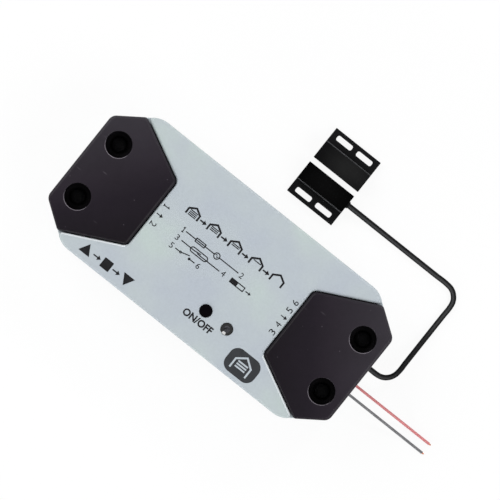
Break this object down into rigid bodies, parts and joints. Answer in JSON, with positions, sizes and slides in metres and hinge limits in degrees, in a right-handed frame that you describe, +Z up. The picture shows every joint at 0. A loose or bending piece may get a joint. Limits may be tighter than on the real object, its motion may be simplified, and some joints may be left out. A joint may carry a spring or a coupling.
{
  "type": "garage door controller",
  "caption": "Flat grey relay box with raised black end caps, a push button and a light, with a cabled magnetic door contact, its loose magnet block and two open leads.",
  "frame": {"origin": "middle of the box's flat resting face", "axes": "+X along the box from the input end to the output end, +Y across the box towards the door contact, +Z up out of the box's face"},
  "size_m": [0.1439, 0.0835, 0.0318],
  "materials": {
    "cover_grey": "fine satin texture, light blue-grey",
    "cap_black": "charcoal, faint satin sheen",
    "button_black": "black, semi-gloss",
    "contact_black": "black, satin",
    "potting": "black casting resin",
    "screw_dark": "black zinc",
    "screw_bright": "bright zinc",
    "clear_lens": "clear, polished dome",
    "reed_glass": "clear green glass",
    "board_green": "green solder mask",
    "board_blue": "blue solder mask",
    "shield_tin": "tinned sheet",
    "terminal_green": "moulded, satin",
    "relay_blue": "moulded case",
    "switch_black": "moulded",
    "stem_cream": "moulded",
    "ferrite": "sintered ferrite",
    "winding_tape": "yellow film tape",
    "can_sleeve": "shrink sleeve",
    "fuse_case": "moulded case",
    "varistor_blue": "dipped coating",
    "magnet_nickel": "nickel plated",
    "cable_black": "black sheath, satin",
    "core_white": "thin sheath",
    "lead_red": "red sheath",
    "lead_black": "black sheath"
  },
  "bodies": {
    "controller": {"base_shell": "cover_grey", "top_cover": "cover_grey", "input_end_cap": "cap_black", "output_end_cap": "cap_black", "end_cap_screws": "screw_dark", "tact_switch_body": "switch_black", "light_pipe": "clear_lens", "status_led": "clear_lens", "circuit_board": "board_green", "board_screws": "screw_bright", "input_terminal_block": "terminal_green", "input_terminal_screws": "screw_bright", "output_terminal_block": "terminal_green", "output_terminal_screws": "screw_bright", "relay": "relay_blue", "transformer_core": "ferrite", "transformer_winding": "winding_tape", "bulk_capacitors": "can_sleeve", "output_capacitor": "can_sleeve", "fuse": "fuse_case", "varistor": "varistor_blue", "bridge_rectifier": "switch_black", "line_choke": "ferrite", "wifi_module_board": "board_blue", "wifi_module_shield": "shield_tin", "sensor_case": "contact_black", "sensor_potting": "potting", "reed_switch": "reed_glass", "sensor_collar": "cable_black", "sensor_cable": "cable_black", "sensor_cable_cores": "core_white", "red_wire": "lead_red", "black_wire": "lead_black"},
    "button": {"on_off_button": "button_black", "tact_switch_stem": "stem_cream"},
    "magnet": {"magnet_case": "contact_black", "magnet_potting": "potting", "bar_magnet": "magnet_nickel"}
  },
  "joints": [
    {"name": "button_press", "type": "slide", "parent": "controller", "child": "button", "axis": [0, 0, -1], "range_m": [0, 0.0005], "stiffness_N_per_m": 400},
    {"name": "magnet_slide", "type": "slide", "parent": "controller", "child": "magnet", "axis": [0, 1, 0], "range_m": [0, 0.03]}
  ]
}
